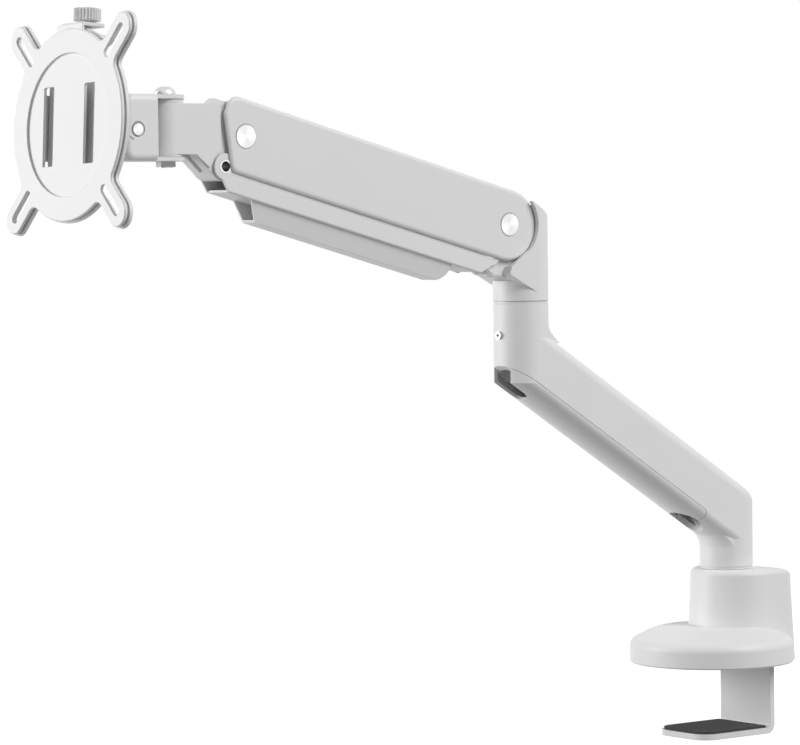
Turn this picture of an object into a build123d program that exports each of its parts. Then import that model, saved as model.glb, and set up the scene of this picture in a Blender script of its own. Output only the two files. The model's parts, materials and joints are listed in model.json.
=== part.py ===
from build123d import *
import os
from math import atan2, cos, degrees, pi, radians, sin, tan

# Frame: +Z up, origin on the post axis at the desk surface, the arm reaches along -Y.
# Side views use two numbers: the distance forward (along -Y) and the height.

# Base and desk clamp
DISC_R = 52.0
DISC_FORWARD = 13.1
RIM_Z = 10.0
SHOULDER = (46.6, 17.0)
CROWN = (30.2, 23.0)
PAD_T = 2.0
PAD_SINK = 1.6
BOSS_R = 29.0
BOSS_BACK = 7.0
BOSS_REAR = 35.0
BOSS_TOP = 58.9
BOSS_DRAFT = 3.0
BOSS_SPREAD = 1.9
BOSS_REAR_R = 15.0
STRIP_W = 46.4
STRIP_T = 3.7
STRIP_Y = 15.4
STRIP_TOP = 18.0
JAW_TOP = -42.6
JAW_REACH = 56.6
JAW_PAD_T = 1.5
CLAMP_SCREW_Y = 24.6
CLAMP_SCREW_R = 4.0
SCREW_HEAD_R = 6.5
SCREW_SEAT_Z = 44.5
NUT_TOP = 14.5

# Lower arm
POST_R = 16.8
ARM_RUN = 167.0
SLOPE = 32.0
FOOT_Z = 60.6
SEAM_Z = 231.0
BEAM_TOP_Z = 113.7
SEAM_AT = 78.6
UNDER_DEPTH = 8.7
BEAM_WALL = 4.0
COVER_WALL = 2.2
TOP_R = 7.0
SEAM_GAP = 0.3
CHANNEL_START = 22.0
CHANNEL_FLOOR = 92.0
CHANNEL_CEILING = 194.0
COVER_START = 29.8
RING_T = 1.6
RING_R = 16.5
SPINDLE_R = 10.0
BUSH_R = 12.45
SHAFT_R = 9.0
SHAFT_BUSH_R = 11.45
GRUB_Z = 212.0
GRUB_R = 2.4
RUN_GAP = 0.05

# Spring arm: a parallelogram of an upper channel and a lower link
LIFT = 15.1
LINK_LENGTH = 199.8
REAR_PIVOT = (186.0, 279.0)
LINK_DROP = (12.9, -17.1)
COVER_HALF = 13.5
COVER_T = 1.6
COVER_TOP = 21.0
COVER_BOTTOM = -22.0
COVER_END_R = 21.4
PIN_R = 4.5
CAP_R = 7.0
LINK_HALF = 11.4
LINK_T = 1.5
LINK_BOTTOM = -13.6
LINK_WALL_TOP = 3.0
LINK_PIN_R = 3.9
TONGUE_HALF = 9.4
TRAY_TOP_HALF = 9.6
TRAY_BOTTOM_HALF = 6.6
TRAY_DEPTH = 11.2
TRAY_T = 1.4
TRAY_START = 26.0
TRAY_END = 172.4
TRAY_SLANT = 4.6

# Elbow bracket and spring adjuster
BRACKET_Z = SEAM_Z + RING_T + 0.1
EAR_INNER = 13.9
EAR_CUT_R = 20.5
EAR_CUT_DEPTH = 19.7
POCKET_R = 22.6
SCREW_TILT = 8.5
ANCHOR_DROP = 16.0
ADJUSTER_END = 31.3
ADJUSTER_R = 2.5
TRUNNION_R = 2.5
SLOT_HALF = 6.4

# Gas spring
SPRING_DROP = -13.0
CYLINDER_R = 8.0
ROD_R = 3.5
CYLINDER_START = 36.0
CYLINDER_END = 145.0
SPRING_PIN_AT = 156.0

# Front knuckle and swivel bracket
BARREL_FORWARD = 425.0
BARREL_R = 10.5
KNUCKLE_TOP = 349.6
KNUCKLE_BOTTOM = 320.8
WASHER_TOP = 351.9
WASHER_BOTTOM = 319.4
FLANGE_TOP = 354.5
FLANGE_BOTTOM = 317.0
FLANGE_T = 2.5
FLANGE_R = 11.0
CHEEK_IN = 13.6
CHEEK_OUT = 16.2
CHEEK_REAR = 441.1
CHEEK_ROUND = 3.9
SWIVEL_FRONT = 462.6
PAN_BOLT_R = 4.0

# Tilt head, measured forward from the tilt pin
TILT_PIN = (454.8, 334.6)
TILT_PIN_R = 3.8
PAN_REST = 1.4
TILT_REST = 4.05
ROLL_REST = 1.95
LUG_R = 7.0
LUG_HALF = 13.0
HEAD_HALF_HEIGHT = 17.0
HEAD_PLATE = (20.0, 23.0)
CARRIER = (28.0, 31.0)
RIVET_R = 5.0
PLATE_FRONT = 36.9
PLATE_T = 1.7
RING_OUTER = 53.6
RECESS_R = 40.0
RECESS_DEPTH = 1.2
ARM_TIP = 71.7
ARM_W = 16.0
VESA_INNER = 37.5
VESA_OUTER = 50.0
VESA_SLOT_W = 5.4
THUMB_FORWARD = 25.0
THUMB_HEAD = 58.8
THUMB_R = 7.75
THUMB_FLUTES = 28

SIDE = Plane(origin=(0, 0, 0), x_dir=(0, -1, 0), z_dir=(-1, 0, 0))
FRONT_PIVOT = (
    REAR_PIVOT[0] + LINK_LENGTH * cos(radians(LIFT)),
    REAR_PIVOT[1] + LINK_LENGTH * sin(radians(LIFT)),
)
LINK_REAR = (REAR_PIVOT[0] + LINK_DROP[0], REAR_PIVOT[1] + LINK_DROP[1])
LINK_FRONT = (FRONT_PIVOT[0] + LINK_DROP[0], FRONT_PIVOT[1] + LINK_DROP[1])


# Shared shapes


def outline(corners, rounds=None):
    """A flat face through its corners; rounds gives the radius of some corners by their number."""
    face = make_face(Polyline(*corners, close=True))
    for number, radius in (rounds or {}).items():
        corner = face.vertices().sort_by_distance(Vector(*corners[number]))[0]
        face = fillet(corner, radius)
    return face


def side_prism(face, half_width):
    """A side view pulled out evenly to both sides of the arm's middle plane."""
    return extrude(SIDE * face, amount=half_width, both=True)


def side_slab(face, inner, outer):
    """A side view as two equal slabs, one on each side, between two distances from the middle."""
    return side_prism(face, outer) - side_prism(face, inner)


def cross_rod(at, radius, start, end):
    """A round bar along X at a side-view point."""
    middle = (start + end) / 2
    return Pos(middle, -at[0], at[1]) * Rot(0, 90, 0) * Cylinder(radius, end - start)


def cross_pair(at, radius, start, end):
    """Two equal round bars along X, one on each side."""
    return [cross_rod(at, radius, start, end), cross_rod(at, radius, -end, -start)]


def upright(at_forward, radius, low, high):
    """A round bar along Z in the middle plane."""
    return Pos(0, -at_forward, (low + high) / 2) * Cylinder(radius, high - low)


def forward_rod(radius, start, end, height=0.0):
    """A round bar along the forward direction."""
    return Pos(0, -(start + end) / 2, height) * Rot(90, 0, 0) * Cylinder(radius, end - start)


def block(x0, x1, f0, f1, z0, z1):
    """A box from its limits across, forward and up."""
    centre = Pos((x0 + x1) / 2, -(f0 + f1) / 2, (z0 + z1) / 2)
    return centre * Box(x1 - x0, f1 - f0, z1 - z0)


def frame_at(point, angle):
    """The place of a piece that is drawn along -Y and pitched up about X at a side-view point."""
    return Pos(0, -point[0], point[1]) * Rot(-angle, 0, 0)


ARM = frame_at(REAR_PIVOT, LIFT)
LINK = frame_at(LINK_REAR, LIFT)
ADJUSTER = frame_at(REAR_PIVOT, SCREW_TILT)
PAN = Pos(0, -BARREL_FORWARD, 0) * Rot(0, 0, PAN_REST)
SWIVEL = PAN * Pos(0, BARREL_FORWARD, 0)
HEAD = SWIVEL * frame_at(TILT_PIN, TILT_REST)
FACE = HEAD * Rot(0, -ROLL_REST, 0)


# Base and desk clamp


def boss_plan(inset):
    """The plan of the raised housing: round in front, square with soft corners behind."""
    half = BOSS_R - inset
    round_front = Pos(0, BOSS_BACK) * Circle(half)
    depth = BOSS_REAR - inset - BOSS_BACK
    rear = Pos(0, BOSS_BACK + depth / 2) * Rectangle(2 * half, depth)
    corners = rear.vertices().group_by(Axis.Y)[-1]
    return round_front + fillet(corners, 10 - inset)


def base_housing():
    """Round foot with a crowned top, a housing for the clamp screw and a seat for the spindle."""
    low = PAD_T - PAD_SINK
    rim = Polyline((0, low), (DISC_R - 0.8, low), (DISC_R, low + 0.8), (DISC_R, RIM_Z))
    lip = ThreePointArc((DISC_R, RIM_Z), (50.8, 14.2), SHOULDER)
    crown = ThreePointArc(SHOULDER, (39.1, 20.8), CROWN)
    top = Polyline(CROWN, (0, CROWN[1]), (0, low))
    profile = make_face([rim, lip, crown, top])
    disc = Pos(0, -DISC_FORWARD, 0) * revolve(Plane.XZ * profile, Axis.Z)
    plan = Pos(0, 0, low) * boss_plan(-BOSS_SPREAD)
    boss = extrude(plan, amount=BOSS_TOP - low, taper=BOSS_DRAFT)
    boss = fillet(boss.faces().sort_by(Axis.Z)[-1].edges(), 4.0)
    back = BOSS_REAR + BOSS_SPREAD + 0.3
    lean = (BOSS_TOP - low) * tan(radians(BOSS_DRAFT))
    silhouette = [(60, -1), (60, BOSS_TOP), (lean - back, BOSS_TOP), (-back, -1)]
    boss &= side_prism(outline(silhouette, {2: BOSS_REAR_R}), 60)
    body = disc + boss
    pad_seat = Pos(0, -DISC_FORWARD, PAD_T / 2) * Cylinder(DISC_R - 4, PAD_T)
    seat = upright(0, SPINDLE_R + 0.02, 20, BOSS_TOP + 1)
    gap = 0.4
    strip = block(
        -STRIP_W / 2 - gap, STRIP_W / 2 + gap, -STRIP_Y - STRIP_T - gap, -STRIP_Y + gap, 0, 53
    )
    nut_way = block(-7.4, 7.4, -CLAMP_SCREW_Y - 6.2, -STRIP_Y - STRIP_T, 0, SCREW_SEAT_Z - 2)
    shank = upright(-CLAMP_SCREW_Y, CLAMP_SCREW_R + RUN_GAP, 40, BOSS_TOP)
    counterbore = upright(-CLAMP_SCREW_Y, SCREW_HEAD_R + 0.7, SCREW_SEAT_Z, BOSS_TOP + 1)
    return body - pad_seat - seat - strip - nut_way - shank - counterbore


def desk_pad():
    """Soft round sole, cut away where the clamp strip comes down."""
    sole = Pos(0, -DISC_FORWARD, PAD_T / 2) * Cylinder(DISC_R - 4.3, PAD_T)
    window = block(-STRIP_W / 2 - 1, STRIP_W / 2 + 1, -DISC_R, -STRIP_Y + 1, -1, 4)
    return sole - window


def clamp_bracket():
    """Bent steel strip: the upright slides in the housing, the jaw reaches under the desk."""
    low = JAW_TOP - STRIP_T
    front = JAW_REACH - STRIP_Y
    shape = outline(
        [
            (-STRIP_Y - STRIP_T, STRIP_TOP),
            (-STRIP_Y - STRIP_T, low),
            (front, low),
            (front, JAW_TOP),
            (-STRIP_Y, JAW_TOP),
            (-STRIP_Y, STRIP_TOP),
        ],
        {1: 6.0, 4: 2.0},
    )
    strip = side_prism(shape, STRIP_W / 2)
    tips = strip.edges().filter_by(Axis.Z).sort_by(Axis.Y)[:2]
    return fillet(tips, 11.0)


def clamp_nut():
    """Threaded block welded behind the strip."""
    body = block(-6.6, 6.6, -CLAMP_SCREW_Y - 5.4, -STRIP_Y - STRIP_T, NUT_TOP - 12, NUT_TOP)
    return body - upright(-CLAMP_SCREW_Y, CLAMP_SCREW_R + RUN_GAP, -5, 30)


def jaw_pad():
    """Soft pad on the jaw."""
    margin = 1.2
    front = JAW_REACH - STRIP_Y - margin
    rear = -STRIP_Y + 3.0
    half = STRIP_W / 2 - margin
    pad = block(-half, half, rear, front, JAW_TOP, JAW_TOP + JAW_PAD_T)
    tips = pad.edges().filter_by(Axis.Z).sort_by(Axis.Y)[:2]
    return fillet(tips, 10.0)


def socket_screw(radius, head_r, head_h, length, key_r):
    """A cap screw with its head's underside at the origin, its shank down and a hex socket on top."""
    head = Pos(0, 0, head_h / 2) * Cylinder(head_r, head_h)
    head = chamfer(head.edges().filter_by(GeomType.CIRCLE).sort_by(Axis.Z)[-1], head_r * 0.1)
    shank = Pos(0, 0, -length / 2) * Cylinder(radius, length)
    key = extrude(Pos(0, 0, head_h * 0.4) * RegularPolygon(key_r, 6), amount=head_h)
    return head + shank - key


def clamp_screw():
    """Cap screw worked from the top of the housing."""
    screw = socket_screw(CLAMP_SCREW_R, SCREW_HEAD_R, 7.0, SCREW_SEAT_Z - 1.0, 3.3)
    return Pos(0, CLAMP_SCREW_Y, SCREW_SEAT_Z + 0.1) * screw


def base_spindle():
    """Steel pin that carries the whole arm, with a groove for its clip."""
    pin = upright(0, SPINDLE_R, 20.5, 97)
    pin = chamfer(pin.edges().sort_by(Axis.Z)[-1], 1.2)
    groove = upright(0, SPINDLE_R + 1, 92.4, 94) - upright(0, SPINDLE_R - 1, 92.4, 94)
    return pin - groove


def spindle_clip():
    """Spring clip that keeps the lower arm on the spindle."""
    ring = upright(0, 12.0, 92.5, 93.9) - upright(0, SPINDLE_R - 0.9, 92, 95)
    return ring - block(-3, 3, -14, 0, 92, 95)


# Lower arm


def seam_line(forward):
    return SEAM_AT + tan(radians(SLOPE)) * forward


def under_line(forward):
    return seam_line(forward) - UNDER_DEPTH / cos(radians(SLOPE))


def arm_plan(radius):
    """Upright prism on the plan of the lower arm, which is round at both turning joints."""
    slot = Rot(0, 0, 90) * SlotCenterToCenter(ARM_RUN, 2 * radius)
    return extrude(Pos(0, -ARM_RUN / 2, FOOT_Z) * slot, amount=250)


def above_belly(inset):
    """All space over the half-round underside of the beam."""
    half = POST_R + 0.05 - inset
    rim = Polyline((half, 0), (30, 0), (30, 90), (-30, 90), (-30, 0), (-half, 0))
    belly = EllipticalCenterArc((0, 0), half, UNDER_DEPTH - inset, start_angle=180, arc_size=180)
    along = (0, -cos(radians(SLOPE)), sin(radians(SLOPE)))
    start = Plane(origin=(0, 0, SEAM_AT), x_dir=(1, 0, 0), z_dir=along).offset(-60)
    return extrude(start * make_face([rim, belly]), amount=340)


def flare(at, wall, root, way):
    """A hollow-curved web beside a post, on the side where the beam meets it."""
    bend = RadiusArc(wall, root, 16 if root[1] > wall[1] else -16)
    rim = Polyline(root, (POST_R - 2, root[1]), (POST_R - 2, wall[1]), wall)
    collar = Pos(0, -at, 0) * revolve(Plane.XZ * make_face([bend, rim]), Axis.Z)
    half = block(-20, 20, min(at, at + 40 * way), max(at, at + 40 * way), 0, 300)
    return collar & half & extrude(Pos(0, -at) * Ellipse(15.8, 27), amount=300)


def beam_envelope(inset=0.0):
    """Two round posts joined by a sloping beam; inset gives the same form a wall further in."""
    r = POST_R - inset
    sky = frame_at((0, BEAM_TOP_Z), SLOPE) * block(-60, 60, -150, 400, -inset, 300)
    body = arm_plan(r) - sky
    top = body.faces().sort_by_distance(Vector(0, -ARM_RUN / 2, 300))[0]
    body = fillet(top.edges(), TOP_R - inset) & above_belly(inset)
    body += upright(0, r - 0.03, FOOT_Z, 95)
    return body + upright(ARM_RUN, r - 0.03, 200, SEAM_Z)


def cover_zone(gap):
    """The part of the side view that belongs to the clip-on cable cover."""
    start = COVER_START + gap
    reach = 40.0
    tip = (start + reach * sin(radians(SLOPE)), seam_line(start) - reach * cos(radians(SLOPE)))
    far = ARM_RUN + 40
    corners = [
        (start, seam_line(start) - gap),
        (far, seam_line(far) - gap),
        (far, tip[1]),
        tip,
    ]
    return outline(corners, {0: 4.0})


def lower_arm_beam():
    """Cast beam: solid at both turning joints, an open cable channel between them."""
    body = beam_envelope() + flare(0, (POST_R, 70.0), (POST_R + 9, 86.0), 1)
    body += flare(ARM_RUN, (POST_R, 220.0), (POST_R + 8, 206.5), -1)
    body -= side_prism(cover_zone(0), POST_R + 5)
    channel_zone = outline(
        [
            (CHANNEL_START, FOOT_Z - 5),
            (CHANNEL_START, CHANNEL_FLOOR),
            (-14, CHANNEL_FLOOR),
            (-14, CHANNEL_CEILING),
            (ARM_RUN + 30, CHANNEL_CEILING),
            (ARM_RUN + 30, FOOT_Z - 5),
        ]
    )
    body -= beam_envelope(BEAM_WALL) & side_prism(channel_zone, POST_R)
    body -= upright(0, BUSH_R + 0.03, FOOT_Z - 1, CHANNEL_FLOOR + 1)
    body -= upright(ARM_RUN, SHAFT_BUSH_R + 0.03, CHANNEL_CEILING + 3.5, SEAM_Z + 1)
    body -= forward_rod(GRUB_R + 0.05, ARM_RUN + 8, ARM_RUN + 30, GRUB_Z)
    return body - lower_mouth(6, 10)


def lower_mouth(outward, inward):
    """Oval cable entry under the lower end of the cable cover."""
    place = frame_at((34.5, under_line(34.5)), SLOPE)
    return place * Pos(0, 0, -outward) * extrude(Ellipse(10.5, 12.5), amount=outward + inward)


def lower_cable_cover():
    """Clip-on trough under the beam; cables come out where its two ends are scooped away."""
    body = beam_envelope() & side_prism(cover_zone(SEAM_GAP), POST_R + 5)
    body -= beam_envelope(COVER_WALL)
    fall = radians(40.6)
    upper = Plane(
        origin=(0, -175.2, 182.5),
        x_dir=(0, -sin(fall), cos(fall)),
        z_dir=(0, -cos(fall), -sin(fall)),
    )
    mouth = outline([(-13.3, -7.8), (16, -7.8), (16, 7.8), (-13.3, 7.8)], {0: 7.0, 3: 7.0})
    body -= extrude(upper * mouth, amount=25, both=True)
    body -= lower_mouth(16, 16)
    for at in (60, 150):
        place = frame_at((0, seam_line(0)), SLOPE)
        for side in (-1, 1):
            middle = Pos(side * 11.75, -at, 0.25) * Box(1.5, 10, 6.5)
            foot = Pos(side * 13.1, -at, -1.8) * Box(4.2, 10, 2.4)
            body += place * (middle + foot)
    return body


def base_bush():
    """Flanged plastic bush: the flange shows as a thin ring at the post's foot."""
    sleeve = upright(0, BUSH_R, FOOT_Z - RING_T, CHANNEL_FLOOR - 0.2)
    flange = upright(0, RING_R, FOOT_Z - RING_T, FOOT_Z)
    return sleeve + flange - upright(0, SPINDLE_R + RUN_GAP, 50, 100)


def elbow_bush():
    """Flanged plastic bush: the flange shows as a thin ring at the elbow."""
    sleeve = upright(ARM_RUN, SHAFT_BUSH_R, CHANNEL_CEILING + 4, SEAM_Z)
    flange = upright(ARM_RUN, RING_R, SEAM_Z, SEAM_Z + RING_T)
    body = sleeve + flange - upright(ARM_RUN, SHAFT_R + RUN_GAP, 190, 240)
    return body - forward_rod(GRUB_R + 0.2, ARM_RUN + 5, ARM_RUN + 30, GRUB_Z)


def elbow_grub_screw():
    """Set screw that runs in the shaft's groove and sets the swivel's drag."""
    body = forward_rod(GRUB_R, ARM_RUN + 8.2, ARM_RUN + POST_R + 1.5, GRUB_Z)
    key = Pos(0, -(ARM_RUN + POST_R - 0.6), GRUB_Z) * Rot(90, 0, 0)
    return body - extrude(key * RegularPolygon(1.4, 6), amount=4)


# Elbow


def ear_face():
    """Side view of the bracket: a cheek scooped out round the arm's rear end."""
    back = ARM_RUN - POST_R
    pr = REAR_PIVOT
    start = (pr[0] - EAR_CUT_R * cos(radians(43)), pr[1] + EAR_CUT_R * sin(radians(43)))
    end = (pr[0] - EAR_CUT_R * cos(radians(49)), pr[1] - EAR_CUT_R * sin(radians(49)))
    scoop = ThreePointArc(start, (pr[0] - EAR_CUT_DEPTH, pr[1]), end)
    tip = Polyline(end, (187.2, 253.6), (188.8, 249.2), (ARM_RUN, 237.6), (back, 237.6))
    spine = Polyline((back, 237.6), (back, 281.0), (ARM_RUN + 3.5, start[1]), start)
    face = make_face([scoop, tip, spine])
    corners = face.vertices().filter_by(lambda v: v.X > 187)
    return fillet(corners, 1.8)


def tongue_face():
    """Side view of the tongue between the arm's walls, with both rear pivots."""
    return outline(
        [
            (166, 241),
            (184.0, 247.0),
            (195.4, 248.8),
            (LINK_REAR[0] + 7.6, LINK_REAR[1] - 5),
            (LINK_REAR[0] + 7.6, LINK_REAR[1] + 4),
            (REAR_PIVOT[0] + 9, REAR_PIVOT[1] + 8),
            (REAR_PIVOT[0] - 2, REAR_PIVOT[1] + 10),
            (160, 282),
        ],
        {2: 2.0, 3: 5.0, 4: 4.0, 5: 6.0},
    )


def elbow_bracket():
    """Cast bracket: round foot, two cheeks beside the arm's end and a slotted tongue inside it."""
    foot = upright(ARM_RUN, POST_R, BRACKET_Z, 245)
    plan = Pos(0, -ARM_RUN) * Circle(POST_R)
    plan += Pos(0, -ARM_RUN - 25) * Rectangle(2 * POST_R, 50)
    cheeks = side_prism(ear_face(), POST_R) & extrude(plan, amount=400)
    body = foot + cheeks - cross_rod(REAR_PIVOT, POCKET_R, -EAR_INNER, EAR_INNER)
    body -= frame_at(REAR_PIVOT, -25) * block(-EAR_INNER, EAR_INNER, 0, 40, -22.7, 40)
    body += side_prism(tongue_face(), TONGUE_HALF)
    bay = outline(
        [(-18, -25.4), (5.7, -25.4), (5.7, -45), (45, -45), (45, 40), (-9, 40), (-9, -8), (-14, -14)]
    )
    body -= ADJUSTER * side_prism(bay, SLOT_HALF)
    body -= upright(ARM_RUN, SHAFT_R + 0.02, 230, 251)
    for side in cross_pair(REAR_PIVOT, PIN_R + 0.02, 6, 20):
        body -= side & cross_rod(REAR_PIVOT, 12, -TONGUE_HALF - 1, TONGUE_HALF + 1)
    for side in cross_pair(LINK_REAR, LINK_PIN_R + 0.02, 6, 20):
        body -= side
    hole = Pos(0, 0, -28) * Cylinder(ADJUSTER_R + RUN_GAP, 12)
    recess = Pos(0, 0, -ADJUSTER_END + 1.3) * Cylinder(4.4, 3.4)
    return body - ADJUSTER * (hole + recess)


def elbow_shaft():
    """Steel shaft under the bracket, grooved for the set screw."""
    shaft = upright(ARM_RUN, SHAFT_R, CHANNEL_CEILING + 5, 250.5)
    ring = upright(ARM_RUN, SHAFT_R + 1, GRUB_Z - 3, GRUB_Z + 3)
    return shaft - (ring - upright(ARM_RUN, SHAFT_R - 1.4, GRUB_Z - 4, GRUB_Z + 4))


def rear_pivot_pins():
    """Two stub pins on the tongue for the upper channel."""
    return cross_pair(REAR_PIVOT, PIN_R, SLOT_HALF + 0.2, COVER_HALF - 0.7)


def link_rear_pins():
    """Two stub pins on the tongue for the lower link."""
    return cross_pair(LINK_REAR, LINK_PIN_R, SLOT_HALF + 0.2, LINK_HALF)


def tension_screw():
    """Socket screw that moves the spring's anchor; its key socket faces down under the arm."""
    head = Pos(0, 0, -ADJUSTER_END + 1.5) * Cylinder(4.0, 2.8)
    shank = Pos(0, 0, -18.2) * Cylinder(ADJUSTER_R, 20.4)
    key = extrude(Pos(0, 0, -ADJUSTER_END - 1) * RegularPolygon(2.4, 6), amount=2.9)
    return ADJUSTER * (head + shank - key)


def spring_anchor():
    """Nut on the tension screw with two trunnions that take the spring's thrust."""
    nut = Pos(0, 0, -ANCHOR_DROP) * Box(6.8, 9.0, 7.0)
    trunnions = Pos(0, 0, -ANCHOR_DROP) * Rot(0, 90, 0) * Cylinder(TRUNNION_R, 12.0)
    bore = Pos(0, 0, -ANCHOR_DROP) * Cylinder(ADJUSTER_R + RUN_GAP, 30)
    return ADJUSTER * (nut + trunnions - bore)


# Spring arm


def cover_face(inset=0.0):
    """Side view of the upper channel: round about the rear pivot, cut steeply at the front."""
    high = COVER_TOP - inset
    low = COVER_BOTTOM + inset
    end_r = COVER_END_R - inset
    tail = make_face(
        [
            Line((0, high), (0, low)),
            ThreePointArc((0, low), (-end_r, (high + low) / 2), (0, high)),
        ]
    )
    front = LINK_LENGTH
    body = outline(
        [(0, low), (front + 4.0, low), (front + 17.5, 9.0), (front + 15.5, high), (0, high)],
        {1: 5.0, 3: 8.0},
    )
    return body + tail


def arm_cover():
    """Folded upper channel, open below; its top is cut back in front to clear the knuckle."""
    outer = side_prism(cover_face(), COVER_HALF)
    ridge = outer.edges().filter_by(GeomType.LINE).filter_by(lambda e: e.length > 150)
    outer = fillet(ridge.sort_by(Axis.Z)[-2:], 2.6)
    inner_face = outline(
        [
            (-60, -80),
            (LINK_LENGTH + 60, -80),
            (LINK_LENGTH + 60, COVER_TOP - COVER_T),
            (0, COVER_TOP - COVER_T),
            (-COVER_END_R - 20, COVER_TOP - COVER_T),
        ]
    )
    body = outer - side_prism(inner_face, COVER_HALF - COVER_T)
    rear_reach = block(-11.9, 11.9, -40, -8, -40, 40)
    front_notch = block(-11.9, 11.9, LINK_LENGTH + 2, LINK_LENGTH + 40, -40, 40)
    body -= rear_reach + front_notch
    for at in (0, LINK_LENGTH):
        body -= cross_rod((at, 0), CAP_R + 0.05, -20, 20)
    return ARM * body


def ring_pair(at, bore, radius, start, end):
    """Two equal collars along X, one on each side."""
    hole = cross_rod(at, bore, -40, 40)
    return [collar - hole for collar in cross_pair(at, radius, start, end)]


def arm_bushes(at):
    """Plastic bushes in the channel's walls at one pivot."""
    return ring_pair(at, PIN_R + RUN_GAP, CAP_R, COVER_HALF - COVER_T - 0.3, COVER_HALF - 0.6)


def pivot_caps(at):
    """Bright round caps that close the pivot's holes on both sides."""
    caps = []
    for cap in cross_pair(at, CAP_R, COVER_HALF - 0.55, COVER_HALF + 0.45):
        rims = cap.edges().filter_by(GeomType.CIRCLE).sort_by(lambda e: abs(e.center().X))
        caps.append(chamfer(rims[-1], 0.35))
    return caps


def spring_hanger():
    """Folded strap under the channel's top that holds the front end of the gas spring."""
    high = COVER_TOP - COVER_T - 0.05
    at = SPRING_PIN_AT
    outer = block(-9.2, 9.2, at - 9, at + 9, SPRING_DROP - 6, high)
    inner = block(-7.0, 7.0, at - 10, at + 10, SPRING_DROP - 8, high - 2.2)
    hole = cross_rod((at, SPRING_DROP), 3.03, -12, 12)
    return ARM * (outer - inner - hole)


def spring_pin():
    """Pin through the hanger and the cylinder's eye."""
    return ARM * cross_rod((SPRING_PIN_AT, SPRING_DROP), 3.0, -9.6, 9.6)


def gas_cylinder():
    """Gas spring's cylinder with a closed nose and a flat eye."""
    tube = forward_rod(CYLINDER_R, CYLINDER_START, CYLINDER_END, SPRING_DROP)
    tube = chamfer(tube.edges().filter_by(GeomType.CIRCLE), 1.4)
    eye = cross_rod((SPRING_PIN_AT, SPRING_DROP), 6.0, -4, 4)
    neck = block(-4, 4, CYLINDER_END - 1, SPRING_PIN_AT, SPRING_DROP - 5, SPRING_DROP + 5)
    bore = forward_rod(ROD_R + RUN_GAP, CYLINDER_START - 5, CYLINDER_END - 6, SPRING_DROP)
    return ARM * (tube + eye + neck - bore - cross_rod((SPRING_PIN_AT, SPRING_DROP), 3.03, -9, 9))


def spring_rod():
    """Gas spring's rod."""
    return ARM * forward_rod(ROD_R, 10.0, CYLINDER_END - 24, SPRING_DROP)


def spring_yoke():
    """Forked rod end; its long slots let the anchor be set and let the spring swing."""
    anchor = -ANCHOR_DROP * sin(radians(LIFT - SCREW_TILT))
    low, high = -20.9, -7.0
    slot = Pos(anchor, (low + high) / 2) * Rot(0, 0, 90) * SlotOverall(high - low, 8.2)
    rim = Pos(anchor, (low + high) / 2) * Rot(0, 0, 90) * SlotOverall(high - low + 3.2, 11.4)
    stem = outline([(0, -17.5), (14, -17.5), (14, -8.5), (0, -8.5)])
    fork = side_slab(rim + stem, 3.7, 6.0)
    head = block(-6.0, 6.0, 8.0, 14.0, -17.5, -8.5)
    bore = forward_rod(ROD_R + 0.01, 9.95, 20, SPRING_DROP)
    return ARM * (fork + head - side_prism(slot, 8) - bore)


def lower_link():
    """Folded lower channel of the parallelogram, with round ends at its pivots."""
    wall = outline(
        [
            (5.0, LINK_BOTTOM),
            (LINK_LENGTH - 6.0, LINK_BOTTOM),
            (LINK_LENGTH + 2.0, LINK_BOTTOM + 8),
            (LINK_LENGTH, LINK_WALL_TOP),
            (0, LINK_WALL_TOP),
            (-4.0, -6),
        ]
    )
    for at in (0, LINK_LENGTH):
        wall += Pos(at, 0) * Circle(7.5)
    walls = side_slab(wall, LINK_HALF - LINK_T, LINK_HALF)
    web = block(
        -LINK_HALF, LINK_HALF, 8.0, LINK_LENGTH - 6.0, LINK_BOTTOM, LINK_BOTTOM + LINK_T
    )
    body = walls + web
    folds = body.edges().filter_by(GeomType.LINE).filter_by(lambda e: e.length > 150)
    folds = folds.filter_by(lambda e: abs(e.center().Z - LINK_BOTTOM) < 0.01)
    body = fillet(folds, 1.2)
    for at in (0, LINK_LENGTH):
        body -= cross_rod((at, 0), LINK_PIN_R + RUN_GAP, -20, 20)
    return LINK * body


def cable_tray():
    """Tapered cable trough under the lower link, open at both ends."""
    top = LINK_BOTTOM
    low = LINK_BOTTOM - TRAY_DEPTH

    def trough(inset, lift):
        return outline(
            [
                (-TRAY_TOP_HALF + inset, top + lift),
                (TRAY_TOP_HALF - inset, top + lift),
                (TRAY_BOTTOM_HALF - inset, low + inset),
                (-TRAY_BOTTOM_HALF + inset, low + inset),
            ]
        )

    section = Plane(origin=(0, 0, 0), x_dir=(1, 0, 0), z_dir=(0, -1, 0))
    long_way = LINK_LENGTH + 20
    shell = extrude(section * trough(0, 0), amount=long_way)
    shell -= extrude(section * trough(TRAY_T, 0.1), amount=long_way)
    side = outline(
        [
            (TRAY_START, top + 1),
            (TRAY_END + TRAY_SLANT, top + 1),
            (TRAY_END - TRAY_SLANT, low - 1),
            (TRAY_START, low - 1),
        ],
        {3: 12.0},
    )
    return LINK * (shell & side_prism(side, 30))


# Front knuckle


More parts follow.
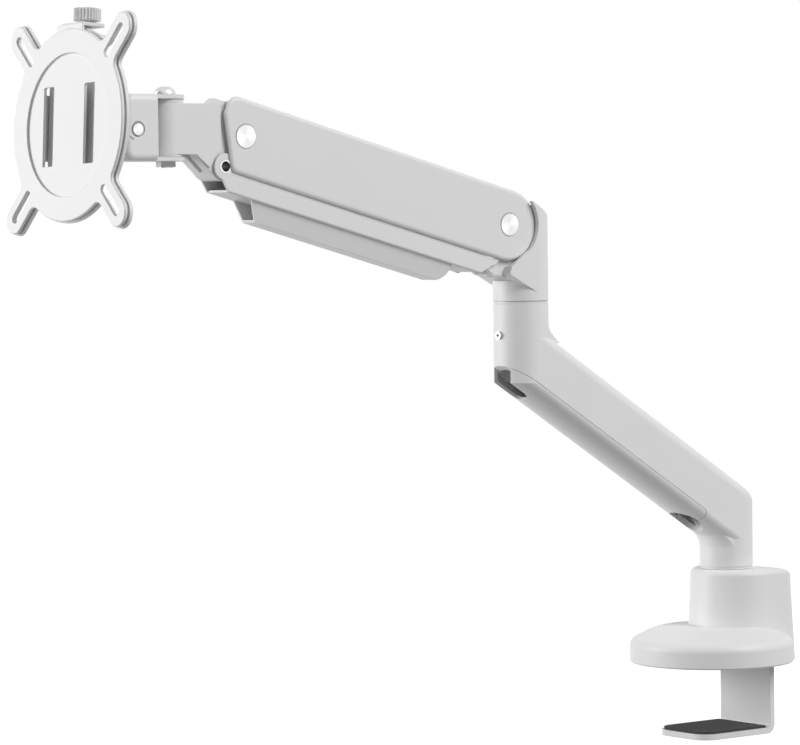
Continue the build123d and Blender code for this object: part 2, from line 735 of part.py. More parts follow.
def front_knuckle():
    """Cast knuckle: an upright barrel in front, a tongue with both front pivots behind."""
    rims = []
    for point, radius in ((FRONT_PIVOT, 12.5), (LINK_FRONT, 8.2)):
        rims += (Pos(*point) * Circle(radius)).edges()
    ends = [(404, KNUCKLE_TOP), (411, KNUCKLE_BOTTOM)]
    rims += [Line(*ends)]
    tongue = side_prism(make_hull(rims), TONGUE_HALF)
    cheek = outline(
        [
            (394, KNUCKLE_TOP),
            (BARREL_FORWARD, KNUCKLE_TOP),
            (BARREL_FORWARD, KNUCKLE_BOTTOM),
            (411, KNUCKLE_BOTTOM),
            (402, 313.4),
            (394, 322.5),
        ],
        {0: 3.0},
    )
    cheek -= Pos(*LINK_FRONT) * Circle(8.4)
    body = tongue + side_prism(cheek, BARREL_R)
    body += upright(BARREL_FORWARD, BARREL_R, KNUCKLE_BOTTOM, KNUCKLE_TOP)
    body -= upright(BARREL_FORWARD, PAN_BOLT_R + 1.52, 300, 400)
    body -= cross_rod(FRONT_PIVOT, PIN_R + 0.02, -20, 20)
    body -= cross_rod(LINK_FRONT, LINK_PIN_R + 0.02, -20, 20)
    slope = degrees(atan2(KNUCKLE_BOTTOM - 313.4, 411 - 402))
    relief = frame_at((405, 316), slope) * block(-2.2, 2.2, -7, 9, -8, 5)
    return body - relief


def front_pivot_pin():
    """Through pin for the upper channel."""
    return cross_rod(FRONT_PIVOT, PIN_R, -COVER_HALF + 0.7, COVER_HALF - 0.7)


def link_front_pin():
    """Hollow through pin for the lower link."""
    pin = cross_rod(LINK_FRONT, LINK_PIN_R, -LINK_HALF - 0.3, LINK_HALF + 0.3)
    return pin - cross_rod(LINK_FRONT, 2.9, -20, 20)


def pan_bush(sleeve, flange):
    """Flanged plastic bush in the barrel; the flange is the washer that shows."""
    low, high = min(sleeve + flange), max(sleeve + flange)
    body = upright(BARREL_FORWARD, PAN_BOLT_R + 1.5, *sleeve)
    body += upright(BARREL_FORWARD, BARREL_R, *flange)
    return body - upright(BARREL_FORWARD, PAN_BOLT_R + RUN_GAP, low - 1, high + 1)


# Swivel bracket


def swivel_bracket():
    """Cast bracket: a short square tube for the tilt pin and two flanges on the barrel's ends."""
    side = outline(
        [
            (CHEEK_REAR, FLANGE_TOP),
            (SWIVEL_FRONT, FLANGE_TOP),
            (SWIVEL_FRONT, FLANGE_BOTTOM),
            (CHEEK_REAR, FLANGE_BOTTOM),
        ],
        {1: 5.5, 2: 5.5},
    )
    body = side_prism(side, CHEEK_OUT)
    rims = body.edges().filter_by(lambda e: abs(abs(e.center().X) - CHEEK_OUT) < 0.01)
    body = fillet(rims.filter_by(lambda e: e.center().Y < -CHEEK_REAR - 0.1), CHEEK_ROUND)
    plan = Pos(0, -BARREL_FORWARD) * Circle(FLANGE_R)
    plan += Pos(0, -(BARREL_FORWARD + 10)) * Rectangle(2 * FLANGE_R, 20)
    body += extrude(Pos(0, 0, FLANGE_BOTTOM) * plan, amount=FLANGE_TOP - FLANGE_BOTTOM)
    low, high = FLANGE_BOTTOM + FLANGE_T - 0.2, FLANGE_TOP - FLANGE_T
    body -= block(-CHEEK_IN, CHEEK_IN, BARREL_FORWARD - 30, SWIVEL_FRONT + 5, low, high)
    body -= cross_rod(TILT_PIN, TILT_PIN_R + RUN_GAP, -30, 30)
    for sink in cross_pair(TILT_PIN, TILT_PIN_R + 0.7, CHEEK_OUT - 0.6, CHEEK_OUT + 1):
        body -= sink
    stop = [(3.4, -6.2), (5.7, -4.8), (5.1, -3.9), (3.0, -5.2)]
    mark = outline([(TILT_PIN[0] + f, TILT_PIN[1] + z) for f, z in stop])
    body -= side_slab(mark, CHEEK_OUT - 0.8, CHEEK_OUT + 1)
    return SWIVEL * (body - upright(BARREL_FORWARD, PAN_BOLT_R + 0.05, 300, 400))


def pan_bolt():
    """Button-head bolt through the barrel."""
    dome = make_face(
        [
            Line((0, 0), (6.2, 0)),
            Line((6.2, 0), (6.2, 0.9)),
            ThreePointArc((6.2, 0.9), (4.7, 3.5), (0, 4.6)),
            Line((0, 4.6), (0, 0)),
        ]
    )
    head = Pos(0, -BARREL_FORWARD, FLANGE_TOP + 0.05) * revolve(Plane.XZ * dome, Axis.Z)
    key = extrude(Pos(0, -BARREL_FORWARD, FLANGE_TOP + 2.2) * RegularPolygon(2.8, 6), amount=6)
    shank = upright(BARREL_FORWARD, PAN_BOLT_R, FLANGE_BOTTOM - 3.6, FLANGE_TOP + 0.5)
    return head + shank - key


def pan_nut():
    """Hexagon nut under the bracket."""
    nut = extrude(
        Pos(0, -BARREL_FORWARD, FLANGE_BOTTOM - 3.2) * RegularPolygon(5.6, 6), amount=3.15
    )
    return nut - upright(BARREL_FORWARD, PAN_BOLT_R + 0.02, 300, 330)


# Tilt head and screen plate, drawn about the tilt pin


def tilt_bracket():
    """Lug on the tilt pin, two webs and a plate that carries the screen's swivel."""
    plate = block(-CHEEK_OUT, CHEEK_OUT, *HEAD_PLATE, -HEAD_HALF_HEIGHT, HEAD_HALF_HEIGHT)
    plate = fillet(plate.edges().filter_by(Axis.Y), 4.0)
    body = plate + cross_rod((0, 0), LUG_R, -LUG_HALF, LUG_HALF)
    web = block(8.0, 12.4, 0, HEAD_PLATE[0] + 0.5, -5.5, 5.5)
    body += web + mirror(web, Plane.YZ)
    body -= cross_rod((0, 0), TILT_PIN_R + 0.02, -30, 30)
    return HEAD * (body - forward_rod(RIVET_R + 0.02, 10, 40))


def tilt_pin():
    """Bolt through both cheeks, fast in the lug."""
    pin = cross_rod((0, 0), TILT_PIN_R, -CHEEK_OUT - 0.4, CHEEK_OUT + 0.2)
    head = cross_rod((0, 0), 6.2, -CHEEK_OUT - 3.2, -CHEEK_OUT - 0.15)
    return HEAD * (pin + head)


def tilt_washers():
    """Friction washers between the lug and the cheeks."""
    rings = ring_pair((0, 0), TILT_PIN_R + 0.05, 6.8, LUG_HALF + 0.02, CHEEK_IN - 0.1)
    return [HEAD * ring for ring in rings]


def turn_disc():
    """Plastic friction disc behind the carrier."""
    disc = forward_rod(15.0, HEAD_PLATE[1] + 0.02, CARRIER[0] - 0.1)
    return HEAD * (disc - forward_rod(RIVET_R + 0.05, 10, 40))


def turn_rivet():
    """Shouldered rivet on which the screen plate turns between upright and crosswise."""
    head = forward_rod(9.0, CARRIER[1] + 0.1, CARRIER[1] + 2.0)
    shank = forward_rod(RIVET_R, HEAD_PLATE[0] - 2, CARRIER[1] + 0.2)
    tail = forward_rod(7.0, HEAD_PLATE[0] - 2, HEAD_PLATE[0] - 0.02)
    return HEAD * (head + shank + tail)


def front_view(f):
    """A drawing plane that looks at the screen plate, at a distance forward of the tilt pin."""
    return Plane(origin=(0, -f, 0), x_dir=(1, 0, 0), z_dir=(0, -1, 0))


def layer(face, start, end):
    """A front view given thickness between two distances forward."""
    return extrude(front_view(start) * face, amount=end - start)


def bent_tab(half, root, level, thick, front, back):
    """A tab that stands up from a plate and folds back flat, with a hole for the thumb screw."""
    shape = outline(
        [
            (front, root),
            (front, level + thick),
            (back, level + thick),
            (back, level),
            (front - thick, level),
            (front - thick, root),
        ],
        {1: 2.6, 4: 0.6},
    )
    tab = side_prism(shape, half)
    tips = tab.edges().filter_by(Axis.Z).sort_by(Axis.Y)[-2:]
    tab = fillet(tips, 2.5)
    return tab - Pos(0, -THUMB_FORWARD, level) * Cylinder(2.75, 20)


def carrier_plate():
    """Plate that stays on the arm; the screen plate slides down onto it."""
    face = fillet(Rectangle(53.6, 48).vertices(), 2.5)
    face += Pos(0, 27) * Rectangle(16, 50)
    body = layer(face, *CARRIER)
    body += bent_tab(8.0, 40, 49.0, 2.0, CARRIER[1], 14.0)
    body -= Pos(0, -THUMB_FORWARD, 48) * Cylinder(2.75, 8)
    return FACE * (body - forward_rod(RIVET_R + RUN_GAP, 10, 40))


def plate_outline(grow):
    """Ring with four arms on the diagonals and a flat root for the top tab."""
    face = Circle(RING_OUTER + grow)
    for turn in (45, 135, 225, 315):
        arm = Pos(ARM_TIP / 2, 0) * SlotCenterToCenter(ARM_TIP, ARM_W + 2 * grow)
        face += Rot(0, 0, turn) * arm
    waists = face.vertices().filter_by(
        lambda v: abs((v.X**2 + v.Y**2) ** 0.5 - RING_OUTER - grow) < 0.01 and abs(v.X * v.Y) > 100
    )
    return fillet(waists, 5 - grow)


def plate_slots():
    """Four diagonal slots that reach both screen hole patterns, and two windows."""
    slots = Sketch()
    inner, outer = VESA_INNER * 2**0.5, VESA_OUTER * 2**0.5
    for turn in (45, 135, 225, 315):
        slot = Pos((inner + outer) / 2, 0) * SlotCenterToCenter(outer - inner, VESA_SLOT_W)
        slots += Rot(0, 0, turn) * slot
    for side in (-1, 1):
        slots += Pos(side * 20, 0) * fillet(Rectangle(10, 44.4).vertices(), 1.0)
    return slots


def screen_plate():
    """Pressed quick-release plate: rolled rim, sunk middle, rails behind that grip the carrier."""
    front, back = PLATE_FRONT, PLATE_FRONT - PLATE_T
    body = layer(plate_outline(0), back, front)
    lip = body.faces().sort_by(Axis.Y)[0].outer_wire().edges()
    body = chamfer(lip, 0.5)
    body += layer(Circle(RECESS_R + 2.5), back - RECESS_DEPTH, front - 1.0)
    body -= layer(Circle(RECESS_R), front - RECESS_DEPTH, front + 1)
    rim = layer(plate_outline(0.8), back - 3.0, back - 0.9)
    groove = layer(plate_outline(-1.6), back - 1.0, back + 0.1)
    hollow = layer(plate_outline(-3.4), back - 3.5, back)
    body += rim + groove - hollow
    for side in (-1, 1):
        rail = block(28.0, 29.8, 25.6, back - 0.5, -18.5, 18.5)
        rail += block(24.3, 29.8, 25.6, 27.3, -18.5, 18.5)
        body += rail if side > 0 else mirror(rail, Plane.YZ)
    root = layer(Pos(0, 52) * Rectangle(25, 8), back, front - 0.4)
    body += root + bent_tab(8.5, 48, 55.2, 1.9, front - 0.4, 17.9)
    body -= layer(plate_slots(), 30.0, front + 1)
    return FACE * body


def thumb_screw():
    """Fluted thumb screw that locks the screen plate to its carrier."""
    rim = []
    for step in range(2 * THUMB_FLUTES):
        radius = THUMB_R if step % 2 else THUMB_R - 0.6
        turn = pi * step / THUMB_FLUTES
        rim.append((radius * cos(turn), radius * sin(turn)))
    head = extrude(Pos(0, -THUMB_FORWARD, THUMB_HEAD) * outline(rim), amount=7.0)
    skirt = Pos(0, -THUMB_FORWARD, THUMB_HEAD + 0.2) * Cylinder(5.6, 1.8)
    shank = Pos(0, -THUMB_FORWARD, THUMB_HEAD - 5.4) * Cylinder(2.4, 15)
    return FACE * (head + skirt + shank)


# Every piece, by the name of its node

PIECES = {
    "base_housing": base_housing(),
    "desk_pad": desk_pad(),
    "base_spindle": base_spindle(),
    "spindle_clip": spindle_clip(),
    "clamp_screw": clamp_screw(),
    "clamp_bracket": clamp_bracket(),
    "clamp_nut": clamp_nut(),
    "jaw_pad": jaw_pad(),
    "lower_arm_beam": lower_arm_beam(),
    "lower_cable_cover": lower_cable_cover(),
    "base_bush": base_bush(),
    "elbow_bush": elbow_bush(),
    "elbow_grub_screw": elbow_grub_screw(),
    "elbow_bracket": elbow_bracket(),
    "elbow_shaft": elbow_shaft(),
    "rear_pivot_pins": rear_pivot_pins(),
    "link_rear_pins": link_rear_pins(),
    "tension_screw": tension_screw(),
    "spring_anchor": spring_anchor(),
    "arm_cover": arm_cover(),
    "rear_arm_bushes": arm_bushes(REAR_PIVOT),
    "front_arm_bushes": arm_bushes(FRONT_PIVOT),
    "rear_pivot_caps": pivot_caps(REAR_PIVOT),
    "front_pivot_caps": pivot_caps(FRONT_PIVOT),
    "spring_hanger": spring_hanger(),
    "spring_pin": spring_pin(),
    "gas_cylinder": gas_cylinder(),
    "spring_rod": spring_rod(),
    "spring_yoke": spring_yoke(),
    "lower_link": lower_link(),
    "cable_tray": cable_tray(),
    "front_knuckle": front_knuckle(),
    "front_pivot_pin": front_pivot_pin(),
    "link_front_pin": link_front_pin(),
    "pan_bush_top": pan_bush((338.0, KNUCKLE_TOP), (KNUCKLE_TOP, WASHER_TOP)),
    "pan_bush_bottom": pan_bush((KNUCKLE_BOTTOM, 332.0), (WASHER_BOTTOM, KNUCKLE_BOTTOM)),
    "swivel_bracket": swivel_bracket(),
    "pan_bolt": pan_bolt(),
    "pan_nut": pan_nut(),
    "tilt_bracket": tilt_bracket(),
    "tilt_pin": tilt_pin(),
    "tilt_washers": tilt_washers(),
    "turn_disc": turn_disc(),
    "turn_rivet": turn_rivet(),
    "carrier_plate": carrier_plate(),
    "screen_plate": screen_plate(),
    "thumb_screw": thumb_screw(),
}

os.makedirs("parts", exist_ok=True)
for name, piece in PIECES.items():
    shape = Compound(children=piece) if isinstance(piece, list) else piece
    export_step(shape, f"parts/{name}.step")
    print(name, round(shape.volume))
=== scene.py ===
# %% [markdown]
# # A clamp-on monitor arm in white
#
# The solids of the arm come from its construction file, already at their real size and in metres.
# This lesson gives them their finish: powder coat, moulded plastic, nylon, foam rubber, turned metal
# and plain steel. It also makes three screws anew, because threads, sockets and flutes are easier to
# shape with mesh tools. First the imported model is loaded, and its box is kept, because the floor
# goes under its lowest point.

# %% Load the imported model
import json
import math

import bmesh
import bpy
from mathutils import Matrix, Vector


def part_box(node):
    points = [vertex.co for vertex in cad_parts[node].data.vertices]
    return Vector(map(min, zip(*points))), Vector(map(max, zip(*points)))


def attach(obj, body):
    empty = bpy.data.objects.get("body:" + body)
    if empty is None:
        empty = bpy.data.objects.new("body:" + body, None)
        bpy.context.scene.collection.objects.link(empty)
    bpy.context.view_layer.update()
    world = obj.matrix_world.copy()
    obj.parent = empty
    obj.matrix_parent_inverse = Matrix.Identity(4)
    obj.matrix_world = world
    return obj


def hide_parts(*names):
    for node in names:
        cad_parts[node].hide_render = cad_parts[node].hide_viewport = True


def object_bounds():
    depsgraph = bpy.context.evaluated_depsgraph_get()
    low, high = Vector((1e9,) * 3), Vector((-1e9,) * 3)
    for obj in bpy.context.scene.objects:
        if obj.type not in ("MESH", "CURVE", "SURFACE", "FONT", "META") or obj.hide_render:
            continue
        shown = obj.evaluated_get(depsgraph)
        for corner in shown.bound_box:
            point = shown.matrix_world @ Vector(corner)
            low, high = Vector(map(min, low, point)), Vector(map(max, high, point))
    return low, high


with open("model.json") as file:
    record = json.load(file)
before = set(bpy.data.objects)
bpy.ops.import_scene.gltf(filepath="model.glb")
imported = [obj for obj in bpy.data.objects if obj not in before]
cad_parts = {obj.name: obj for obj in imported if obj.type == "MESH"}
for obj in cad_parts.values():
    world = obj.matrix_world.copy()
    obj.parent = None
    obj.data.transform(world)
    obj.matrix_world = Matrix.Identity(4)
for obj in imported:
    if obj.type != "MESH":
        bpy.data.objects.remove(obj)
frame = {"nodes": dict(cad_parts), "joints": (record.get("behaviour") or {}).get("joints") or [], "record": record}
nodes = frame["nodes"]
solid_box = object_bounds()

# %% [markdown]
# ## The camera
#
# The photograph was taken with a long lens from about two metres, nearly level with the arm. A long
# lens keeps the two ends of the arm at almost the same scale. The camera could be aimed with a
# constraint, but writing its three axes into a matrix is exact and shows what a camera really is:
# a right, an up and a backward direction, and a place to stand.

# %% Set the camera
VIEW_TURN = math.radians(52.54)
VIEW_DIP = math.radians(2.30)
VIEW_ROLL = math.radians(0.691)
VIEW_FROM = Vector((1.7426, -1.5953, 0.2803))
FOCAL_PIXELS = 3703.8
PHOTO_WIDTH = 800
FILM_WIDTH = 36

ahead = Vector(
    (
        -math.sin(VIEW_TURN) * math.cos(VIEW_DIP),
        math.cos(VIEW_TURN) * math.cos(VIEW_DIP),
        -math.sin(VIEW_DIP),
    )
)
level_right = Vector((math.cos(VIEW_TURN), math.sin(VIEW_TURN), 0))
level_up = level_right.cross(ahead)
right = level_right * math.cos(VIEW_ROLL) - level_up * math.sin(VIEW_ROLL)
up = level_up * math.cos(VIEW_ROLL) + level_right * math.sin(VIEW_ROLL)

lens = bpy.data.cameras.new("photo_camera")
lens.sensor_fit = "HORIZONTAL"
lens.sensor_width = FILM_WIDTH
lens.lens = FOCAL_PIXELS * FILM_WIDTH / PHOTO_WIDTH
camera = bpy.data.objects.new("photo_camera", lens)
turn = Matrix((right, up, -ahead)).transposed().to_4x4()
camera.matrix_world = Matrix.Translation(VIEW_FROM) @ turn
bpy.context.scene.collection.objects.link(camera)
bpy.context.scene.camera = camera
bpy.context.scene.view_settings.view_transform = "Standard"
print("focal length", round(lens.lens, 1), "mm")

# %% [markdown]
# ## Floor
#
# The photograph has a plain white ground. The floor is a disc under the clamp's jaw, the lowest point
# of the arm. A square plane would do as well, but a disc has no corners to show in other views.

# %% Lay the floor
FLOOR_RADIUS = 1.1
FLOOR_SIDES = 96
FLOOR_MIDDLE = (0, -0.2)

floor_level = solid_box[0][2]
disc = bmesh.new()
bmesh.ops.create_circle(disc, cap_ends=True, segments=FLOOR_SIDES, radius=FLOOR_RADIUS)
bmesh.ops.translate(disc, verts=disc.verts, vec=(*FLOOR_MIDDLE, floor_level))
floor_mesh = bpy.data.meshes.new("floor")
disc.to_mesh(floor_mesh)
disc.free()
floor = bpy.data.objects.new("floor", floor_mesh)
bpy.context.scene.collection.objects.link(floor)
print("floor at", round(floor_level * 1000, 1), "mm")

# %% [markdown]
# The floor reflects the lamps like pale card, and it adds a little white of its own that only the
# camera and mirror-like surfaces can see, so it reads as white and still keeps the shadow. Stronger
# lamps would make it white too, but they would wash out the arm. The Light Path node tells such rays
# from scattered light. Sums between nodes come up often, so there is a helper for them.

# %% Paint the floor
FLOOR_WHITE = 0.40
FLOOR_LIFT = 0.88


def calculate(tree, operation, *terms):
    """The output of a Math node. Each term is a number or the output of another node."""
    node = tree.nodes.new("ShaderNodeMath")
    node.operation = operation
    for socket, term in zip(node.inputs, terms):
        if isinstance(term, bpy.types.NodeSocket):
            tree.links.new(term, socket)
        else:
            socket.default_value = term
    return node.outputs[0]


def seen_directly(tree):
    """A mask that is 1 for rays from the camera, mirrors and glass, and 0 for scattered light."""
    rays = tree.nodes.new("ShaderNodeLightPath").outputs
    mirrored = calculate(tree, "MAXIMUM", rays["Is Glossy Ray"], rays["Is Transmission Ray"])
    return calculate(tree, "MAXIMUM", rays["Is Camera Ray"], mirrored)


card = bpy.data.materials.new("pale_card")
card.use_nodes = True
tree = card.node_tree
tree.nodes.clear()
paper = tree.nodes.new("ShaderNodeBsdfDiffuse")
paper.inputs["Color"].default_value = (FLOOR_WHITE, FLOOR_WHITE, FLOOR_WHITE, 1)
glow = tree.nodes.new("ShaderNodeEmission")
lift = calculate(tree, "MULTIPLY", seen_directly(tree), FLOOR_LIFT)
tree.links.new(lift, glow.inputs["Strength"])
blend = tree.nodes.new("ShaderNodeAddShader")
tree.links.new(paper.outputs[0], blend.inputs[0])
tree.links.new(glow.outputs[0], blend.inputs[1])
out = tree.nodes.new("ShaderNodeOutputMaterial")
tree.links.new(blend.outputs[0], out.inputs["Surface"])
floor_mesh.materials.append(card)
print("floor paint", card.name, "with", len(tree.nodes), "nodes")

# %% [markdown]
# ## Sky
#
# The sky uses the same mask: white to the eye, so that the ground ends in white and metal mirrors it,
# and a calm grey to everything that it lights. A bright sky without the mask would light the arm from
# all sides, and its form would go flat.

# %% Light the sky
SKY_LIGHT = 0.23

sky = bpy.data.worlds.new("studio")
sky.use_nodes = True
bpy.context.scene.world = sky
tree = sky.node_tree
backdrop = tree.nodes["Background"]
backdrop.inputs["Color"].default_value = (1, 1, 1, 1)
strength = calculate(tree, "MULTIPLY_ADD", seen_directly(tree), 1 - SKY_LIGHT, SKY_LIGHT)
tree.links.new(strength, backdrop.inputs["Strength"])
print("the sky looks white and lights at", SKY_LIGHT)

# %% [markdown]
# ## Lamps
#
# In the photograph the round posts are brightest on the left, a little less bright on the right and
# darkest where they face the camera. So the light comes from both sides: a low soft box at the left,
# square to the view, and one high on the right, which also lights the tops. The sky only softens
# what they leave dark. Large lamps make soft edges.

# %% Hang the soft boxes
ARM_MIDDLE = Vector((0, -0.25, 0.2))
LAMP_WIDTH = 2.0
LAMP_POWER = 85
LAMP_PLACES = {"key_left": (-1.95, -2.79, 0.75), "high_right": (2.4, 0.75, 2.4)}


def soft_box(name, place):
    """A square area lamp at a place, turned so that it shines at the middle of the arm."""
    data = bpy.data.lights.new(name, "AREA")
    data.shape = "SQUARE"
    data.size = LAMP_WIDTH
    data.energy = LAMP_POWER
    lamp = bpy.data.objects.new(name, data)
    lamp.location = place
    lamp.rotation_euler = (ARM_MIDDLE - Vector(place)).to_track_quat("-Z", "Y").to_euler()
    bpy.context.scene.collection.objects.link(lamp)


for name, place in LAMP_PLACES.items():
    soft_box(name, place)
print("lamps:", *LAMP_PLACES)

# %% [markdown]
# ## A grain that the finishes share
#
# Powder coat, moulded plastic and foam all have a fine grain, only finer or coarser. Each material
# could have its own noise, but an effect that several share is best kept in one shader node group
# with named inputs, and each material places the group with its own values. The group only mixes
# textures and numbers; the shader itself stays in the material.

# %% Open the grain group
grain = bpy.data.node_groups.new("coat_grain", "ShaderNodeTree")


def group_sockets(way, kind, *names):
    """Named inputs or outputs of the grain group."""
    for name in names:
        grain.interface.new_socket(name=name, in_out=way, socket_type=kind)


group_sockets("INPUT", "NodeSocketColor", "Colour")
group_sockets("INPUT", "NodeSocketFloat", "Grain per metre", "Unevenness")
group_sockets("INPUT", "NodeSocketFloat", "Roughness", "Roughness spread")
group_sockets("OUTPUT", "NodeSocketColor", "Colour")
group_sockets("OUTPUT", "NodeSocketFloat", "Roughness", "Height")
given = grain.nodes.new("NodeGroupInput").outputs
result = grain.nodes.new("NodeGroupOutput").inputs
print("the grain group has", len(grain.interface.items_tree), "sockets")

# %% [markdown]
# Two noises do the work. A fine one is the grain: it spreads the roughness and raises the surface. A
# broad one makes the colour a little uneven, in soft clouds. Both read Object coordinates, which stay
# with a piece when it moves, and both are shifted to lie round zero, so that the colour and the
# roughness that a material asks for stay the middle ones.

# %% Fill the grain group
CLOUDS_PER_METRE = 24
NOISE_MIDDLE = 0.5
where = grain.nodes.new("ShaderNodeTexCoord")


def noise(detail):
    """A noise texture on the piece."""
    texture = grain.nodes.new("ShaderNodeTexNoise")
    texture.inputs["Detail"].default_value = detail
    grain.links.new(where.outputs["Object"], texture.inputs["Vector"])
    return texture


def scaled(tree, colour, factor):
    """A colour times a factor, both given by other nodes."""
    node = tree.nodes.new("ShaderNodeVectorMath")
    node.operation = "SCALE"
    tree.links.new(colour, node.inputs[0])
    tree.links.new(factor, node.inputs["Scale"])
    return node.outputs[0]


fine = noise(detail=2)
grain.links.new(given["Grain per metre"], fine.inputs["Scale"])
grain.links.new(fine.outputs["Fac"], result["Height"])
swing = calculate(grain, "SUBTRACT", fine.outputs["Fac"], NOISE_MIDDLE)
rough = calculate(grain, "MULTIPLY_ADD", swing, given["Roughness spread"], given["Roughness"])
grain.links.new(rough, result["Roughness"])

broad = noise(detail=3)
broad.inputs["Scale"].default_value = CLOUDS_PER_METRE
clouds = calculate(grain, "SUBTRACT", broad.outputs["Fac"], NOISE_MIDDLE)
shade = calculate(grain, "MULTIPLY_ADD", clouds, given["Unevenness"], 1.0)
grain.links.new(scaled(grain, given["Colour"], shade), result["Colour"])
print("group", grain.name, "with", len(grain.nodes), "nodes")

# %% [markdown]
# ## Powder coat
#
# The castings and bent sheets are powder coated: white, half matt and faintly grained. The Bevel node
# rounds the look of sharp edges by a fraction of a millimetre, the way a thick coat flows over them.
# The same could be modelled with thousands of small faces, but the shader does it without any. The
# white stays well below 1.0, so that the lamps have room to draw the form. Grains are counted per
# metre, and the bump and the edge are in metres.

# %% Make the powder coat
BEVEL_SAMPLES = 4
GRAIN_STRENGTH = 0.35


def base_finish(name, colour, grains, unevenness, roughness, spread):
    """A material whose Principled shader takes its colour and roughness from the grain group."""
    material = bpy.data.materials.new(name)
    material.use_nodes = True
    tree = material.node_tree
    shader = tree.nodes["Principled BSDF"]
    effect = tree.nodes.new("ShaderNodeGroup")
    effect.name = "grain"
    effect.node_tree = grain
    effect.inputs["Colour"].default_value = (*colour, 1)
    effect.inputs["Grain per metre"].default_value = grains
    effect.inputs["Unevenness"].default_value = unevenness
    effect.inputs["Roughness"].default_value = roughness
    effect.inputs["Roughness spread"].default_value = spread
    tree.links.new(effect.outputs["Colour"], shader.inputs["Base Color"])
    tree.links.new(effect.outputs["Roughness"], shader.inputs["Roughness"])
    return material


def grained(name, colour, grains, unevenness, roughness, spread, bump, edge):
    """A coated or moulded finish: the grain also raises the surface, and edges look rounded."""
    material = base_finish(name, colour, grains, unevenness, roughness, spread)
    tree = material.node_tree
    soft_edge = tree.nodes.new("ShaderNodeBevel")
    soft_edge.samples = BEVEL_SAMPLES
    soft_edge.inputs["Radius"].default_value = edge
    relief = tree.nodes.new("ShaderNodeBump")
    relief.inputs["Strength"].default_value = GRAIN_STRENGTH
    relief.inputs["Distance"].default_value = bump
    tree.links.new(tree.nodes["grain"].outputs["Height"], relief.inputs["Height"])
    tree.links.new(soft_edge.outputs[0], relief.inputs["Normal"])
    tree.links.new(relief.outputs[0], tree.nodes["Principled BSDF"].inputs["Normal"])
    return material


white_coat = grained(
    "white_coat",
    (0.80, 0.80, 0.80),
    grains=2200,
    unevenness=0.03,
    roughness=0.46,
    spread=0.10,
    bump=0.00006,
    edge=0.0006,
)
print("powder coat", white_coat.name, "with", len(white_coat.node_tree.nodes), "nodes")

# %% [markdown]
# ## Mouldings, pads and paints
#
# The same helper makes the other coated and moulded finishes, because they differ only in tone, grain
# and shine. The cable cover and the tray are moulded plastic, the bushes and washers smoother nylon,
# and the thumb screw and the pan bolt's nut are painted. The pads are dark foam rubber, which has the
# coarsest grain. The tube of the gas spring is painted black.

# %% Make the mouldings, pads and paints
white_plastic = grained(
    "white_plastic",
    (0.79, 0.79, 0.79),
    grains=3200,
    unevenness=0.02,
    roughness=0.42,
    spread=0.06,
    bump=0.00003,
    edge=0.0005,
)
white_nylon = grained(
    "white_nylon",
    (0.74, 0.74, 0.74),
    grains=2600,
    unevenness=0.03,
    roughness=0.38,
    spread=0.05,
    bump=0.00002,
    edge=0.0004,
)
pale_screw = grained(
    "pale_screw",
    (0.70, 0.70, 0.70),
    grains=2600,
    unevenness=0.03,
    roughness=0.34,
    spread=0.06,
    bump=0.00002,
    edge=0.0003,
)
dark_foam = grained(
    "dark_foam",
    (0.045, 0.045, 0.046),
    grains=700,
    unevenness=0.45,
    roughness=0.85,
    spread=0.10,
    bump=0.0003,
    edge=0.0004,
)
black_paint = grained(
    "black_paint",
    (0.02, 0.02, 0.02),
    grains=2600,
    unevenness=0.05,
    roughness=0.30,
    spread=0.05,
    bump=0.00002,
    edge=0.0004,
)
print("materials so far:", *bpy.data.materials.keys())

# %% [markdown]
# ## Plain metals
#
# Most pins, the clamp's screw and nut and the spring's rod are plain plated steel, and the pan bolt is
# brighter. Metal could have scratches drawn on it, but at this size a shine that isn't the same
# everywhere is enough, so the grain group feeds a metallic shader and nothing else.

# %% Make the plain metals
METAL_GRAINS = 1500
METAL_UNEVENNESS = 0.15
METAL_SPREAD = 0.15


def plain_metal(name, colour, roughness):
    """Bare metal with a slightly uneven shine."""
    material = base_finish(name, colour, METAL_GRAINS, METAL_UNEVENNESS, roughness, METAL_SPREAD)
    material.node_tree.nodes["Principled BSDF"].inputs["Metallic"].default_value = 1.0
    return material


plain_steel = plain_metal("plain_steel", (0.58, 0.58, 0.59), roughness=0.36)
bright_steel = plain_metal("bright_steel", (0.68, 0.68, 0.68), roughness=0.24)
print("plain metals:", plain_steel.name, bright_steel.name)

# %% [markdown]
# ## Where the turned faces are
#
# The pivot caps and the ends of two pins are faced on a lathe, and their rings need a centre. It could
# be typed in, but the frame knows it: the caps and the hollow pin reach as far to both sides, so their
# axis goes through the middle of their box. The tilt pin has a head on one side only and lies a little
# askew, so the middle of its bright end is found from the tilt joint.

# %% Find the centres of the turned faces
PIN_REACH = 0.0164
JOINT = {joint["name"]: joint for joint in frame["joints"]}


def middle(node):
    """The middle of a node's box."""
    low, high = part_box(node)
    return (low + high) / 2


tilt_axis = Vector(JOINT["tilt"]["axis"]).normalized()
near_end = tilt_axis * math.copysign(PIN_REACH, tilt_axis.x)
tilt_pin_end = Vector(JOINT["tilt"]["pos_m"]) + near_end
print("bright end of the tilt pin at", [round(part * 1000, 1) for part in tilt_pin_end], "mm")

# %% [markdown]
# ## Metal faced on a lathe
#
# On such a face the shine lies in fine rings round the pivot and stretches into a bow-tie. The rings
# could be modelled, but they are too fine to see one by one. A Mapping node moves the origin of the
# pattern to the pivot, and a sine of the distance from the axis gives the ridges. The same distance
# paints shade past the turned edge and inside the bore, as a darker colour. A radial tangent stretches
# the shine along the rings.

# %% Measure from the axis and raise the rings
RING_PITCH = 0.00045
RING_DEPTH = 0.00004
RING_STRENGTH = 0.25


